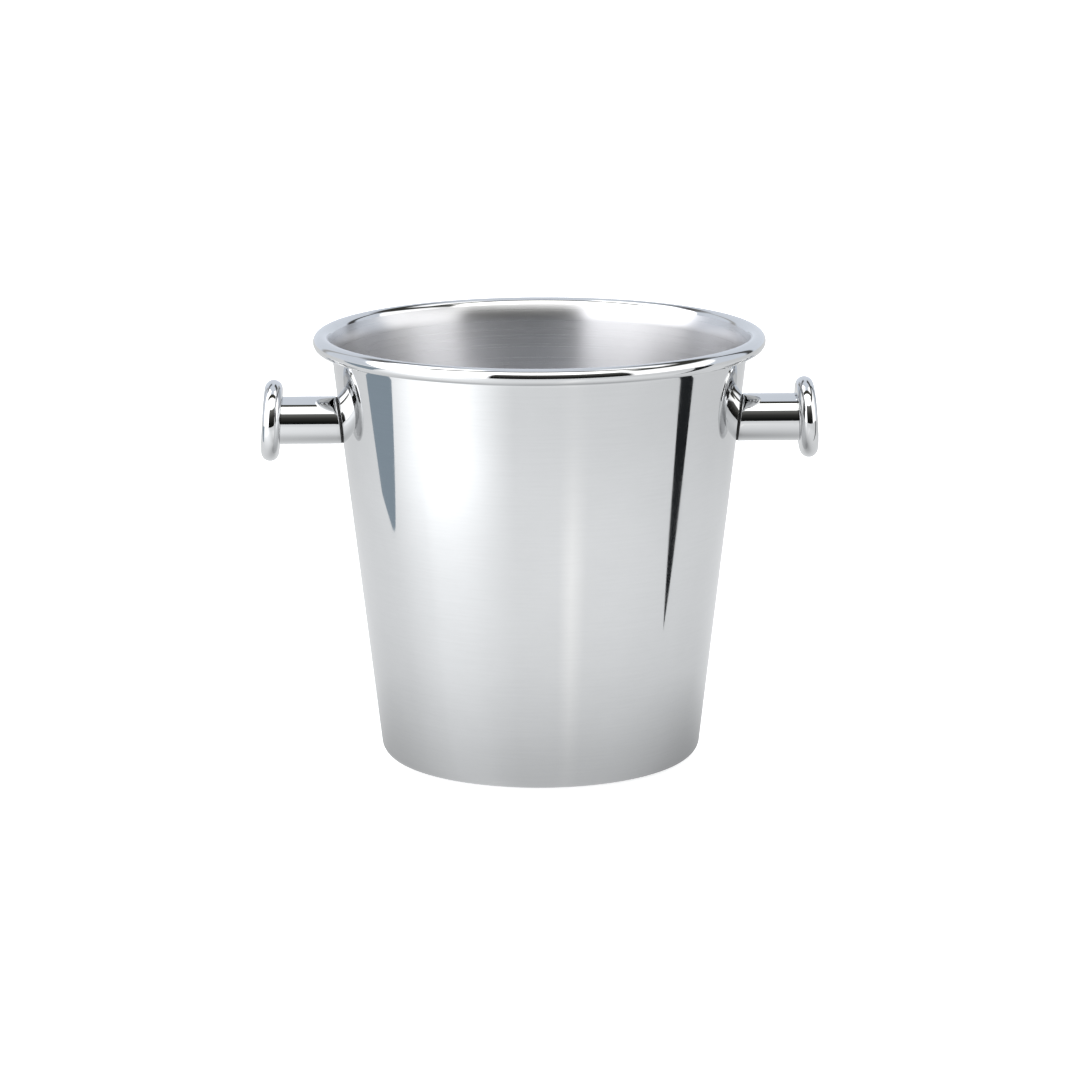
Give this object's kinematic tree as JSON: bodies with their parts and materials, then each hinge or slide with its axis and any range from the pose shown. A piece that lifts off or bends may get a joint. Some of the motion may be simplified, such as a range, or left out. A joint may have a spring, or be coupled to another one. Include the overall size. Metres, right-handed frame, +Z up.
{
  "type": "champagne bucket",
  "caption": "Tapered, open champagne bucket with a rolled rim and a round knob handle on each side, mirror polished outside and satin inside.",
  "frame": {"origin": "centre of the base's resting ring, on the table", "axes": "+Z up along the bucket's axis, +X along the handle axis towards the right handle, -Y towards the viewer"},
  "size_m": [0.2472, 0.2, 0.1905],
  "materials": {
    "shell_steel": "stainless steel sheet, mirror polished outside and on the rim, satin inside",
    "mirror_steel": "mirror polished stainless steel",
    "fixing_steel": "turned and brushed stainless steel",
    "seal_rubber": "matt black rubber"
  },
  "bodies": {
    "root": {"bucket_shell": "shell_steel", "left_handle_stem": "mirror_steel", "left_handle_disc": "mirror_steel", "left_handle_gasket": "seal_rubber", "left_inner_seal": "seal_rubber", "left_saddle_washer": "fixing_steel", "left_handle_screw": "fixing_steel", "right_handle_stem": "mirror_steel", "right_handle_disc": "mirror_steel", "right_handle_gasket": "seal_rubber", "right_inner_seal": "seal_rubber", "right_saddle_washer": "fixing_steel", "right_handle_screw": "fixing_steel"}
  },
  "joints": []
}
